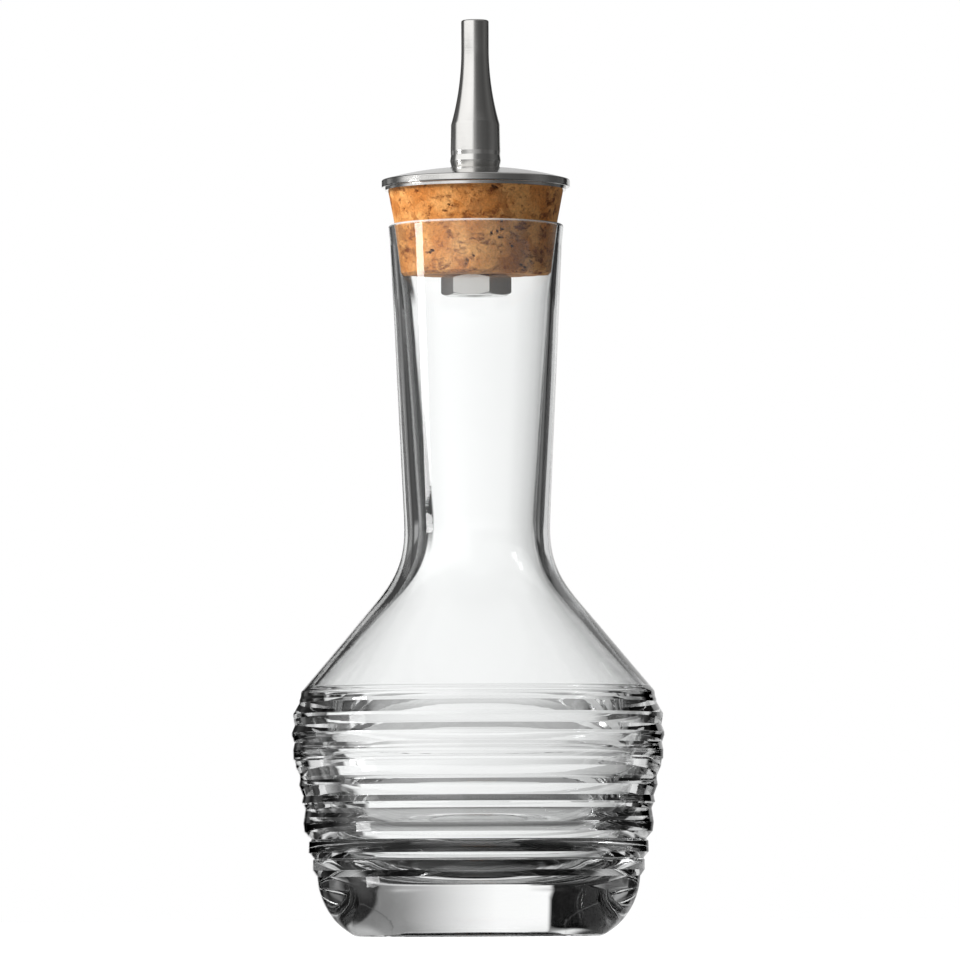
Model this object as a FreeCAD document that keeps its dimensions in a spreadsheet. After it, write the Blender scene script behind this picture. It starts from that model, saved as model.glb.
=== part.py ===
"""Clear glass bitters bottle with a cork dasher stopper, in millimetres.

The bottle stands on the XY plane with its axis on +Z, and the origin is the middle of its foot.
The stopper is a tapered cork under a domed steel disc. A hollow threaded stem runs through both:
the dash spout is fixed on its top end, and a thin hexagon nut clamps the stack from below.
"""

import FreeCAD, Part
import math
import os

import Sketcher

DOCUMENT = FreeCAD.newDocument("bitters_bottle")
SHEET = DOCUMENT.addObject("Spreadsheet::Sheet", "dims")

# Driving dimensions: alias, value, what it measures
DIMENSIONS = (
    ("bottle_height", 114.8, "foot to rim of the glass"),
    ("foot_radius", 20.0, "outer edge of the ring that the bottle stands on"),
    ("foot_ring", 3.5, "width of that ring, round the hollow under the foot"),
    ("punt_depth", 0.8, "rise of that hollow at the axis"),
    ("heel_height", 8.0, "where the rounded heel ends"),
    ("heel_radius", 25.85, "glass radius at the top of the heel"),
    ("heel_curve", 11.6, "radius of the rounded heel"),
    ("body_radius", 30.05, "widest ring of the body"),
    ("shoulder_height", 39.4, "edge between the rings and the shoulder"),
    ("shoulder_inset", 1.55, "how far that edge lies inside the widest ring"),
    ("shoulder_round", 0.6, "rounding of that edge"),
    ("neck_root_height", 59.7, "where the shoulder and neck lines cross"),
    ("neck_root_radius", 11.46, "glass radius at that crossing"),
    ("neck_blend", 16.0, "fillet between shoulder and neck"),
    ("lip_height", 3.3, "length of the flared lip below the rim"),
    ("lip_flare", 0.3, "how far the lip stands out from the neck line"),
    ("lip_blend", 12.0, "fillet between neck and lip"),
    ("mouth_radius", 14.2, "outer radius at the rim"),
    ("mouth_wall", 0.95, "glass thickness at the rim"),
    ("rim_round_share", 0.44, "fire polished rounding of the rim, as a share of its wall"),
    ("base_thickness", 9.0, "solid glass under the cavity"),
    ("body_wall", 3.95, "glass thickness at the widest ring"),
    ("bowl_wall", 5.65, "glass thickness at the foot of the tapered bowl, inside the heel"),
    ("cavity_wall", 9.9, "height of the cavity's wall above the bowl"),
    ("cavity_lean", 1.3, "how far that wall leans out up to the corner under the shoulder edge"),
    ("bowl_round", 16.0, "rounding between bowl and floor"),
    ("bowl_blend", 12.0, "fillet between bowl and cavity wall"),
    ("corner_round", 1.2, "rounding of the cavity's corner under the shoulder edge"),
    ("waist_wall", 2.4, "glass thickness at the neck root"),
    ("waist_blend", 12.0, "inner fillet between shoulder and neck"),
    ("seat_depth", 12.5, "tapered seat of the cork below the rim"),
    ("seat_taper", 1.48, "how far the bore draws in along that seat"),
    ("seat_blend", 60.0, "fillet below that seat"),
    ("cork_gap", 0.15, "room between cork and glass"),
    ("cork_sink", 8.6, "length of cork inside the neck"),
    ("cork_stand", 5.55, "length of cork above the rim"),
    ("cork_flare", 0.9, "how far the top of the cork stands out from the bore"),
    ("cork_chamfer", 0.5, "broken lower edge of the cork"),
    ("stem_radius", 3.0, "threaded stem, over its thread"),
    ("stem_bore", 1.6, "radius of the way through the stem"),
    ("stem_room", 0.25, "room round the stem in the cork and the disc"),
    ("stem_chamfer", 0.4, "chamfer at both ends of the stem"),
    ("thread_gap", 0.05, "running room of a thread on the stem"),
    ("plate_height", 0.45, "step under the steel disc that rests on the cork"),
    ("plate_overhang", 0.5, "how far that step stands out from the cork"),
    ("disc_overhang", 1.1, "how far the disc stands out from the cork"),
    ("disc_edge", 1.2, "thickness of the disc at its edge"),
    ("disc_rise", 1.9, "rise of the dome above that edge"),
    ("disc_dome", 54.0, "radius of the dome"),
    ("disc_round", 0.25, "rounding of the disc's edge"),
    ("disc_land", 0.5, "flat of the disc round the foot of the spout"),
    ("spout_height", 24.1, "spout above the disc"),
    ("spout_wall", 0.8, "wall round the socket where the spout meets the disc"),
    ("bead_height", 1.2, "middle of the bead above the disc"),
    ("bead_stand", 0.27, "how far the bead stands out from that foot"),
    ("collar_height", 2.1, "groove between bead and barrel"),
    ("collar_stand", 0.03, "how far the groove's floor stands out from the foot"),
    ("barrel_height", 2.8, "lower edge of the barrel"),
    ("barrel_stand", 0.19, "how far that edge stands out from the foot"),
    ("barrel_top", 7.1, "upper edge of the barrel"),
    ("barrel_top_stand", 0.1, "how far that edge stands out from the foot"),
    ("tip_length", 4.6, "straight tip of the spout"),
    ("tip_radius", 2.23, "radius of the tip"),
    ("tip_round_share", 0.29, "rounding of the tip, as a share of its wall"),
    ("flare_curve", 45.0, "radius of the flare between barrel and tip"),
    ("tip_bore", 1.2, "radius of the way through the spout"),
    ("socket_depth", 6.0, "threaded socket in the barrel"),
    ("nut_flats", 10.0, "width of the nut across its flats"),
    ("nut_height", 3.2, "thickness of the nut"),
    ("nut_chamfer", 0.45, "depth of the chamfer at the corners of the nut"),
    ("nut_overrun", 1.0, "how far the chamfer's cut reaches past the corners"),
    ("nut_turn", 51.0, "degrees that the nut is turned about the axis"),
)

# Outline of the cut rings from the shoulder edge down to the heel: share of the height between heel and
# shoulder, and share of the reach between the heel's radius and the widest ring
RING_SHARES = (
    (0.973, 0.650),
    (0.959, 0.695),
    (0.943, 0.700),
    (0.884, 0.952),
    (0.869, 0.945),
    (0.826, 0.888),
    (0.788, 1.000),
    (0.772, 1.000),
    (0.734, 0.902),
    (0.697, 0.957),
    (0.653, 0.948),
    (0.643, 0.888),
    (0.611, 0.857),
    (0.564, 0.698),
    (0.545, 0.700),
    (0.518, 0.733),
    (0.463, 0.576),
    (0.430, 0.626),
    (0.420, 0.560),
    (0.398, 0.493),
    (0.325, 0.576),
    (0.279, 0.531),
    (0.240, 0.274),
    (0.231, 0.362),
    (0.174, 0.376),
    (0.143, 0.167),
    (0.135, 0.217),
    (0.084, 0.217),
    (0.051, 0.048),
)

# Places and sizes that several pieces share
CORK_FOOT = "(dims.bottle_height - dims.cork_sink)"
CORK_TOP = "(dims.bottle_height + dims.cork_stand)"
DISC_BROW = "(dims.plate_height + dims.disc_edge)"
DISC_CROWN = "(dims.plate_height + dims.disc_edge + dims.disc_rise)"
SPOUT_SEAT = f"({CORK_TOP} + {DISC_CROWN})"
STEM_FOOT = "(dims.bottle_height - dims.cork_sink - dims.nut_height)"
BORE_MOUTH = "(dims.mouth_radius - dims.mouth_wall)"
STEM_HOLE = "(dims.stem_radius + dims.stem_room)"
THREAD_HOLE = "(dims.stem_radius + dims.thread_gap)"
SPOUT_FOOT = "(dims.stem_radius + dims.thread_gap + dims.spout_wall)"
CORK_EDGE = "(dims.mouth_radius - dims.mouth_wall + dims.cork_flare)"
NUT_CORNER = "(dims.nut_flats / 2 / cos(30))"


def fill_sheet():
    """Write the driving dimensions into the sheet, one row each."""
    for row, (alias, size, meaning) in enumerate(DIMENSIONS, start=1):
        SHEET.set(f"A{row}", alias)
        SHEET.set(f"B{row}", str(size))
        SHEET.setAlias(f"B{row}", alias)
        SHEET.set(f"C{row}", meaning)
    DOCUMENT.recompute()


def new_body(label, height="0"):
    """Start a sub-part whose own origin stands at a height on the bottle's axis."""
    body = DOCUMENT.addObject("PartDesign::Body", label)
    body.Label = label
    if height != "0":
        body.setExpression("Placement.Base.z", height)
    return body


def new_sketch(body, name, role):
    """Start a sketch on one of the body's own origin planes."""
    sketch = body.newObject("Sketcher::SketchObject", name)
    plane = next(item for item in body.Origin.OriginFeatures if item.Role == role)
    sketch.AttachmentSupport = [(plane, "")]
    sketch.MapMode = "FlatFace"
    return sketch


def arc_between(start, end, radius, side):
    """Give the arc of a radius from start to end, bulging to the right (1) or left (-1) of that way,
    and whether it runs the same way round as the outline."""
    chord = end - start
    across = FreeCAD.Vector(chord.y, -chord.x, 0).normalize() * side
    middle = start + chord * 0.5
    centre = middle - across * math.sqrt(radius ** 2 - (chord.Length / 2) ** 2)
    forward = side > 0
    first, last = (start, end) if forward else (end, start)
    circle = Part.Circle(centre, FreeCAD.Vector(0, 0, 1), radius)
    return Part.ArcOfCircle(circle, circle.parameter(first), circle.parameter(last)), forward


class Outline:
    """A closed outline of radius and height in a sketch, held by named constraints.

    A corner is (radius, height) or (radius, height, rounding), each an expression on the sheet.
    arcs gives, for the edge that leaves a corner, the radius of its curve and the side it bulges to.
    """

    def __init__(self, sketch, corners, arcs=None):
        self.sketch = sketch
        self.corners = corners
        self.arcs = arcs or {}
        self.count = len(corners)
        self.spots = [FreeCAD.Vector(self.size(corner[0]), self.size(corner[1]), 0) for corner in corners]
        self.constraints = []
        self.bindings = []
        self.edges = []
        self.draw_edges()
        self.join_corners()
        self.bind()

    def size(self, expression):
        """Work out an expression on the sheet."""
        return SHEET.evalExpression(expression)

    def rounding(self, index):
        """Give the rounding of a corner as an expression, or nothing."""
        corner = self.corners[index % self.count]
        return corner[2] if len(corner) > 2 else None

    def turn(self, index):
        """Give the directions into and out of a corner, and the length that its rounding takes off."""
        spot = self.spots[index % self.count]
        into = (spot - self.spots[index - 1]).normalize()
        out = (self.spots[(index + 1) % self.count] - spot).normalize()
        rounding = self.rounding(index)
        trim = self.size(rounding) * math.tan(into.getAngle(out) / 2) if rounding else 0
        return into, out, trim

    def draw_edges(self):
        """Draw each edge between its corners, less what the roundings take off."""
        for index in range(self.count):
            following = (index + 1) % self.count
            leaving = self.turn(index)
            arriving = self.turn(following)
            start = self.spots[index] + leaving[1] * leaving[2]
            end = self.spots[following] - arriving[0] * arriving[2]
            if index in self.arcs:
                radius, side = self.arcs[index]
                shape, forward = arc_between(start, end, self.size(radius), side)
                edge = self.sketch.addGeometry(shape, False)
                self.hold(Sketcher.Constraint("Radius", edge, self.size(radius)), f"curve_{index}", radius)
            else:
                forward = True
                edge = self.sketch.addGeometry(Part.LineSegment(start, end), False)
            self.edges.append((edge, 1, 2) if forward else (edge, 2, 1))

    def hold(self, constraint, name=None, expression=None):
        """Keep a constraint for later, with the expression that drives it."""
        if name:
            self.bindings.append((len(self.constraints), name, expression))
        self.constraints.append(constraint)

    def place(self, index, geometry, point):
        """Hold a point at its corner's radius and height."""
        radius, height = self.corners[index][:2]
        if radius == "0":
            self.hold(Sketcher.Constraint("PointOnObject", geometry, point, -2))
        else:
            span = Sketcher.Constraint("DistanceX", -1, 1, geometry, point, self.spots[index].x)
            self.hold(span, f"radius_{index}", radius)
        if height == "0":
            self.hold(Sketcher.Constraint("PointOnObject", geometry, point, -1))
        else:
            rise = Sketcher.Constraint("DistanceY", -1, 1, geometry, point, self.spots[index].y)
            self.hold(rise, f"height_{index}", height)

    def join_corners(self):
        """Join the edges at every corner, sharp or rounded."""
        for index in range(self.count):
            before, _, arrival = self.edges[index - 1]
            after, departure, _ = self.edges[index]
            if not self.rounding(index):
                self.hold(Sketcher.Constraint("Coincident", before, arrival, after, departure))
                self.place(index, after, departure)
                continue
            into, out, trim = self.turn(index)
            side = 1 if into.cross(out).z > 0 else -1
            start = self.spots[index] - into * trim
            end = self.spots[index] + out * trim
            radius = self.rounding(index)
            shape, forward = arc_between(start, end, self.size(radius), side)
            arc = self.sketch.addGeometry(shape, False)
            first, last = (1, 2) if forward else (2, 1)
            corner = self.sketch.addGeometry(Part.Point(self.spots[index]), True)
            self.hold(Sketcher.Constraint("Tangent", before, arrival, arc, first))
            self.hold(Sketcher.Constraint("Tangent", arc, last, after, departure))
            self.hold(Sketcher.Constraint("Radius", arc, self.size(radius)), f"round_{index}", radius)
            self.hold(Sketcher.Constraint("PointOnObject", corner, 1, before))
            self.hold(Sketcher.Constraint("PointOnObject", corner, 1, after))
            self.place(index, corner, 1)

    def bind(self):
        """Add the constraints to the sketch and bind them to the sheet."""
        added = self.sketch.addConstraint(self.constraints)
        for order, name, expression in self.bindings:
            self.sketch.renameConstraint(added[order], name)
            self.sketch.setExpression(f"Constraints.{name}", expression)
        if self.sketch.solve() != 0:
            raise RuntimeError(f"{self.sketch.Label} can't be solved")


def turned(body, name, corners, arcs=None):
    """Revolve a closed outline round the body's axis."""
    sketch = new_sketch(body, f"{name}_outline", "XZ_Plane")
    Outline(sketch, corners, arcs)
    feature = body.newObject("PartDesign::Revolution", name)
    feature.Profile = sketch
    feature.ReferenceAxis = (sketch, ["V_Axis"])
    DOCUMENT.recompute()
    return feature


def make_bottle():
    """The glass: thick foot, rounded heel, cut rings, straight shoulder and flaring neck."""
    body = new_body("glass_bottle")
    rim_round = "dims.rim_round_share * dims.mouth_wall"
    seat_foot = f"{BORE_MOUTH} - dims.seat_taper"
    cavity = "dims.body_radius - dims.body_wall"
    rings = [
        (
            f"dims.heel_radius + {reach} * (dims.body_radius - dims.heel_radius)",
            f"dims.heel_height + {rise} * (dims.shoulder_height - dims.heel_height)",
        )
        for rise, reach in reversed(RING_SHARES)
    ]
    foot = [
        ("0", "dims.punt_depth"),
        ("dims.foot_radius - dims.foot_ring", "0"),
        ("dims.foot_radius", "0"),
        ("dims.heel_radius", "dims.heel_height"),
    ]
    outside = [
        ("dims.body_radius - dims.shoulder_inset", "dims.shoulder_height", "dims.shoulder_round"),
        ("dims.neck_root_radius", "dims.neck_root_height", "dims.neck_blend"),
        (
            "dims.mouth_radius - dims.lip_flare",
            "dims.bottle_height - dims.lip_height",
            "dims.lip_blend",
        ),
        ("dims.mouth_radius", "dims.bottle_height", rim_round),
    ]
    inside = [
        (BORE_MOUTH, "dims.bottle_height", rim_round),
        (seat_foot, "dims.bottle_height - dims.seat_depth", "dims.seat_blend"),
        ("dims.neck_root_radius - dims.waist_wall", "dims.neck_root_height", "dims.waist_blend"),
        (f"{cavity} + dims.cavity_lean", "dims.shoulder_height", "dims.corner_round"),
        (cavity, "dims.shoulder_height - dims.cavity_wall", "dims.bowl_blend"),
        ("dims.heel_radius - dims.bowl_wall", "dims.base_thickness", "dims.bowl_round"),
        ("0", "dims.base_thickness"),
    ]
    heel_edge = len(foot) - 2
    turned(body, "glass", foot + rings + outside + inside, {heel_edge: ("dims.heel_curve", 1)})
    return body


def make_cork():
    """The cork: tapered plug that follows the seat in the neck and flares above the rim."""
    body = new_body("cork", CORK_FOOT)
    drawn_in = "dims.seat_taper * dims.cork_sink / dims.seat_depth"
    foot_radius = f"{BORE_MOUTH} - dims.cork_gap - {drawn_in}"
    length = "(dims.cork_sink + dims.cork_stand)"
    turned(body, "plug", [
        (STEM_HOLE, "0"),
        (f"{foot_radius} - dims.cork_chamfer", "0"),
        (foot_radius, "dims.cork_chamfer"),
        (f"{BORE_MOUTH} - dims.cork_gap", "dims.cork_sink"),
        (CORK_EDGE, length),
        (STEM_HOLE, length),
    ])
    return body


def make_disc():
    """The steel disc: domed washer with a step below, which covers the cork and carries the spout."""
    body = new_body("cap_disc", CORK_TOP)
    plate = f"{CORK_EDGE} + dims.plate_overhang"
    edge = f"{CORK_EDGE} + dims.disc_overhang"
    turned(body, "dome", [
        (STEM_HOLE, "0"),
        (plate, "0"),
        (plate, "dims.plate_height"),
        (edge, "dims.plate_height", "dims.disc_round"),
        (edge, DISC_BROW),
        (f"{SPOUT_FOOT} + dims.bead_stand + dims.disc_land", DISC_CROWN),
        (STEM_HOLE, DISC_CROWN),
    ], {4: ("dims.disc_dome", 1)})
    return body


def make_spout():
    """The dash spout: beaded foot, socketed barrel, concave flare and narrow tip."""
    body = new_body("dash_spout", SPOUT_SEAT)
    tip_foot = "dims.spout_height - dims.tip_length"
    tip_round = "dims.tip_round_share * (dims.tip_radius - dims.tip_bore)"
    turned(body, "nozzle", [
        (THREAD_HOLE, "0"),
        (SPOUT_FOOT, "0"),
        (f"{SPOUT_FOOT} + dims.bead_stand", "dims.bead_height"),
        (f"{SPOUT_FOOT} + dims.collar_stand", "dims.collar_height"),
        (f"{SPOUT_FOOT} + dims.barrel_stand", "dims.barrel_height"),
        (f"{SPOUT_FOOT} + dims.barrel_top_stand", "dims.barrel_top"),
        ("dims.tip_radius", tip_foot),
        ("dims.tip_radius", "dims.spout_height", tip_round),
        ("dims.tip_bore", "dims.spout_height", tip_round),
        ("dims.tip_bore", "dims.socket_depth"),
        (THREAD_HOLE, "dims.socket_depth"),
    ], {5: ("dims.flare_curve", -1)})
    return body


def make_stem():
    """The stem: hollow stud from the foot of the nut to the end of the spout's socket."""
    body = new_body("threaded_stem", STEM_FOOT)
    length = f"({SPOUT_SEAT} + dims.socket_depth - {STEM_FOOT})"
    turned(body, "stud", [
        ("dims.stem_bore", "0"),
        ("dims.stem_radius - dims.stem_chamfer", "0"),
        ("dims.stem_radius", "dims.stem_chamfer"),
        ("dims.stem_radius", f"{length} - dims.stem_chamfer"),
        ("dims.stem_radius - dims.stem_chamfer", length),
        ("dims.stem_bore", length),
    ])
    return body


def draw_hexagon(sketch):
    """Draw a regular hexagon round the origin, with a round hole for the stem."""
    centre = FreeCAD.Vector(0, 0, 0)
    upright = FreeCAD.Vector(0, 0, 1)
    reach = SHEET.evalExpression(NUT_CORNER)
    hole = SHEET.evalExpression(THREAD_HOLE)
    corners = [FreeCAD.Vector(reach, 0, 0)]
    for _ in range(5):
        corners.append(FreeCAD.Rotation(upright, 60).multVec(corners[-1]))
    ring = sketch.addGeometry(Part.Circle(centre, upright, reach), True)
    bore = sketch.addGeometry(Part.Circle(centre, upright, hole), False)
    sides = [
        sketch.addGeometry(Part.LineSegment(corners[index - 1], corner), False)
        for index, corner in enumerate(corners)
    ]
    for index, side in enumerate(sides):
        sketch.addConstraint(Sketcher.Constraint("Coincident", sides[index - 1], 2, side, 1))
        sketch.addConstraint(Sketcher.Constraint("PointOnObject", side, 1, ring))
    for side in sides[1:]:
        sketch.addConstraint(Sketcher.Constraint("Equal", sides[0], side))
    sketch.addConstraint(Sketcher.Constraint("PointOnObject", sides[0], 2, -1))
    for circle, name, expression in ((ring, "corner", NUT_CORNER), (bore, "bore", THREAD_HOLE)):
        sketch.addConstraint(Sketcher.Constraint("Coincident", circle, 3, -1, 1))
        size = SHEET.evalExpression(expression)
        radius = sketch.addConstraint(Sketcher.Constraint("Radius", circle, size))
        sketch.renameConstraint(radius, name)
        sketch.setExpression(f"Constraints.{name}", expression)


def make_nut():
    """The nut: thin hexagon with chamfered corners, under the cork."""
    body = new_body("hex_nut", STEM_FOOT)
    body.setExpression("Placement.Rotation.Angle", "dims.nut_turn")
    flats = new_sketch(body, "flats", "XY_Plane")
    draw_hexagon(flats)
    blank = body.newObject("PartDesign::Pad", "blank")
    blank.Profile = flats
    blank.setExpression("Length", "dims.nut_height")
    DOCUMENT.recompute()
    uncut = blank.Shape.Volume
    past = f"{NUT_CORNER} + dims.nut_overrun"
    run = f"({past} - dims.nut_flats / 2)"
    fall = f"dims.nut_chamfer * {run} / ({NUT_CORNER} - dims.nut_flats / 2)"
    cuts = (
        ("lower_chamfer", [("dims.nut_flats / 2", "0"), (past, "0"), (past, fall)]),
        ("upper_chamfer", [
            ("dims.nut_flats / 2", "dims.nut_height"),
            (past, f"dims.nut_height - {fall}"),
            (past, "dims.nut_height"),
        ]),
    )
    for name, corners in cuts:
        sketch = new_sketch(body, f"{name}_outline", "XZ_Plane")
        Outline(sketch, corners)
        cut = body.newObject("PartDesign::Groove", name)
        cut.Profile = sketch
        cut.ReferenceAxis = (sketch, ["V_Axis"])
        DOCUMENT.recompute()
        if not cut.Shape.Volume < uncut:
            raise RuntimeError(f"{name} cuts nothing")
        uncut = cut.Shape.Volume
    return body


def check_document(bodies):
    """Stop if any object failed or any sub-part has no valid single solid."""
    for item in DOCUMENT.Objects:
        if {"Invalid", "Error"} & set(item.State):
            raise RuntimeError(f"{item.Label} failed: {item.State}")
    for body in bodies:
        shape = body.Shape
        if shape.isNull() or not shape.isValid() or len(shape.Solids) != 1:
            raise RuntimeError(f"{body.Label} isn't one valid solid")


def main():
    fill_sheet()
    bodies = [make_bottle(), make_cork(), make_disc(), make_spout(), make_stem(), make_nut()]
    DOCUMENT.recompute()
    check_document(bodies)
    os.makedirs("parts", exist_ok=True)
    for body in bodies:
        body.Shape.exportStep(f"parts/{body.Label}.step")
        box = body.Shape.optimalBoundingBox()
        print(f"{body.Label}: {body.Shape.Volume:.1f} mm3, z {box.ZMin:.2f} to {box.ZMax:.2f}")


main()
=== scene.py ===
"""Looks of a clear glass bitters bottle with a cork dasher stopper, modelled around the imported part.

All sizes are in metres. The bottle's axis is Z, its foot stands on Z = 0 and the camera looks along +Y.
"""

import math

import bpy
from bpy.props import FloatProperty, FloatVectorProperty, IntProperty, PointerProperty
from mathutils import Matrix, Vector, noise


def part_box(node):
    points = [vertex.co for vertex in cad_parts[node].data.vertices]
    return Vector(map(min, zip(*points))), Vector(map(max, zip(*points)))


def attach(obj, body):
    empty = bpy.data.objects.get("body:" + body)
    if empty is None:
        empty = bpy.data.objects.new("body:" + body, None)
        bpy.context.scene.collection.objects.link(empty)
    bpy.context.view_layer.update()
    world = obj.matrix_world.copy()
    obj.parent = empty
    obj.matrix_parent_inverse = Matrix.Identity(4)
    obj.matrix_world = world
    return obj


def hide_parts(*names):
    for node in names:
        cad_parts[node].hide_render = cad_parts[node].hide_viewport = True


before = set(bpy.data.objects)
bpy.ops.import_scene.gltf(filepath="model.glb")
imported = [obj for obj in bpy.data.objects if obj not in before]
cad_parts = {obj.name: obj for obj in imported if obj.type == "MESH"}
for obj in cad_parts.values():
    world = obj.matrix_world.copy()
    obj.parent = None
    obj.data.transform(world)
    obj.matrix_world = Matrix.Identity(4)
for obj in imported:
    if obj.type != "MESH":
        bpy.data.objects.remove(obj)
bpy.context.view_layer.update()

bl_info = {
    "name": "Bitters bottle",
    "version": (1, 0, 0),
    "blender": (4, 5, 0),
    "location": "View3D > Sidebar > Bitters",
    "description": "Models the glass, cork and steel of a bitters bottle and lights them for a picture",
    "category": "Object",
}

GLASS_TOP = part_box("glass_bottle")[1]
CORK_LOW, CORK_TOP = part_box("cork")
DISC_LOW, DISC_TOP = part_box("cap_disc")
SPOUT_LOW, SPOUT_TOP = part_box("dash_spout")
STEM_LOW, STEM_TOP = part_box("threaded_stem")
NUT_LOW, NUT_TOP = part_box("hex_nut")

FULL_TURN = 2 * math.pi
SAME_POINT = 1e-6
SMOOTH_ANGLE = math.radians(32)

# Marks a corner whose bend comes and goes smoothly. Its curve is pulled by points at these shares of its
# reach, and so cuts the corner by this share of its reach times the sine of half its turn.
EASED = "eased"
EASED_SHARES = (0.2, 0.6, 1)
EASED_DEPTH_SHARE = 0.375

# Depths below the rim at which its ground finish begins and is full
GROUND_FROM = 0.00042
GROUND_FULL = 0.00022

# Heights of the fine relief in each finish, and how far the cork's pattern is pushed about
GLASS_RELIEF = 0.00004
CORK_RELIEF = 0.00025
STEEL_RELIEF = 0.000012
CORK_DRIFT = 0.0022

# The thread's flat crest and its flank as shares of half a pitch, its rows in a pitch and its steps in a turn
CREST_SHARE = 0.14
FLANK_SHARE = 0.7
THREAD_ROWS = 12
THREAD_SEGMENTS = 60

# The turned blank that chamfers the nut: its steps round the axis and its reach as a share of the nut's
# corner
BLANK_SEGMENTS = 96
BLANK_SHARE = 1.1

# Open pits of the cork: the seed of their draws, then for round patches and for cracks their features in a
# metre, the features and the reach of what warps them, the noise that opens a pit and its rise to full depth
PIT_SEED = 13
PATCH_SCALE = 480
PATCH_WARP_SCALE = 800
PATCH_WARP = 0.9
PATCH_FROM = 0.66
PATCH_RISE = 0.35
CRACK_SCALES = (520, 520, 800)
CRACK_WARP_SCALE = 900
CRACK_WARP = 0.6
CRACK_FROM = 0.7
CRACK_RISE = 0.25

# Cut rings from the heel up to the shoulder edge: share of the height between heel and shoulder, and
# share of the reach between the heel's radius and the widest ring
RING_SHARES = (
    (0.051, 0.048),
    (0.084, 0.217),
    (0.135, 0.217),
    (0.143, 0.167),
    (0.174, 0.376),
    (0.231, 0.362),
    (0.240, 0.274),
    (0.279, 0.531),
    (0.325, 0.576),
    (0.398, 0.493),
    (0.420, 0.560),
    (0.430, 0.626),
    (0.463, 0.576),
    (0.518, 0.733),
    (0.545, 0.700),
    (0.564, 0.698),
    (0.611, 0.857),
    (0.643, 0.888),
    (0.653, 0.948),
    (0.697, 0.957),
    (0.734, 0.902),
    (0.772, 1.000),
    (0.788, 1.000),
    (0.826, 0.888),
    (0.869, 0.945),
    (0.884, 0.952),
    (0.943, 0.700),
    (0.959, 0.695),
    (0.973, 0.650),
)


def length(name, description, default):
    """A property that holds a length in metres."""
    return FloatProperty(name=name, description=description, default=default, unit="LENGTH", precision=5)


def angle(name, description, degrees):
    """A property that holds an angle, given here in degrees."""
    return FloatProperty(name=name, description=description, default=math.radians(degrees), subtype="ANGLE")


def colour(name, description, default):
    """A property that holds a linear colour."""
    return FloatVectorProperty(
        name=name,
        description=description,
        default=default,
        subtype="COLOR",
        min=0,
        max=1,
    )


class GlassSizes(bpy.types.PropertyGroup):
    """Sizes of the glass bottle."""

    segments: IntProperty(name="Segments", description="Steps round the bottle", default=240, min=24)
    foot_radius: length("Foot radius", "Outer edge of the ring that the bottle stands on", 0.020)
    foot_ring: length("Foot ring", "Width of that ring", 0.0035)
    punt_depth: length("Punt depth", "Rise of the hollow under the foot", 0.0008)
    heel_height: length("Heel height", "Where the rounded heel ends", 0.008)
    heel_radius: length("Heel radius", "Radius at the top of the heel", 0.02585)
    heel_curve: length("Heel curve", "Radius of the rounded heel", 0.0116)
    ring_round: length("Ring rounding", "Polished edge of each cut ring", 0.00012)
    shoulder_height: length("Shoulder height", "Edge between rings and shoulder", 0.0394)
    shoulder_inset: length("Shoulder inset", "How far that edge lies inside the widest ring", 0.00155)
    shoulder_round: length("Shoulder rounding", "Rounding of that edge", 0.0006)
    neck_root_height: length("Neck root height", "Where the shoulder and neck lines cross", 0.0597)
    neck_root_radius: length("Neck root radius", "Radius at that crossing", 0.01146)
    neck_blend: length("Neck blend", "Fillet between shoulder and neck", 0.016)
    lip_height: length("Lip height", "Length of the flared lip", 0.0033)
    lip_flare: length("Lip flare", "How far the lip stands out from the neck line", 0.0003)
    lip_blend: length("Lip blend", "Fillet between neck and lip", 0.012)
    mouth_radius: length("Mouth radius", "Outer radius at the rim", 0.0142)
    mouth_wall: length("Mouth wall", "Glass thickness at the rim", 0.00095)
    rim_round: length("Rim rounding", "Fire polished rounding of the rim", 0.00042)
    base_thickness: length("Base thickness", "Solid glass under the cavity", 0.009)
    body_wall: length("Body wall", "Glass thickness at the widest ring", 0.00395)
    bowl_wall: length("Bowl wall", "Glass thickness at the foot of the bowl", 0.00565)
    bowl_round: length("Bowl rounding", "Rounding between bowl and floor", 0.016)
    bowl_blend: length("Bowl blend", "Fillet between bowl and cavity wall", 0.012)
    cavity_wall: length("Cavity wall", "Straight wall above the bowl", 0.0099)
    cavity_lean: length("Cavity lean", "How far that wall leans out up to its corner", 0.0013)
    corner_round: length("Corner rounding", "Rounding of that corner", 0.0012)
    waist_wall: length("Waist wall", "Glass thickness at the neck root", 0.0024)
    waist_blend: length("Waist blend", "Inner fillet between shoulder and neck", 0.017)
    seat_depth: length("Seat depth", "Tapered seat of the cork", 0.0125)
    seat_taper: length("Seat taper", "How far the bore draws in along that seat", 0.00148)
    seat_blend: length("Seat blend", "Fillet below that seat", 0.060)


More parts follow.
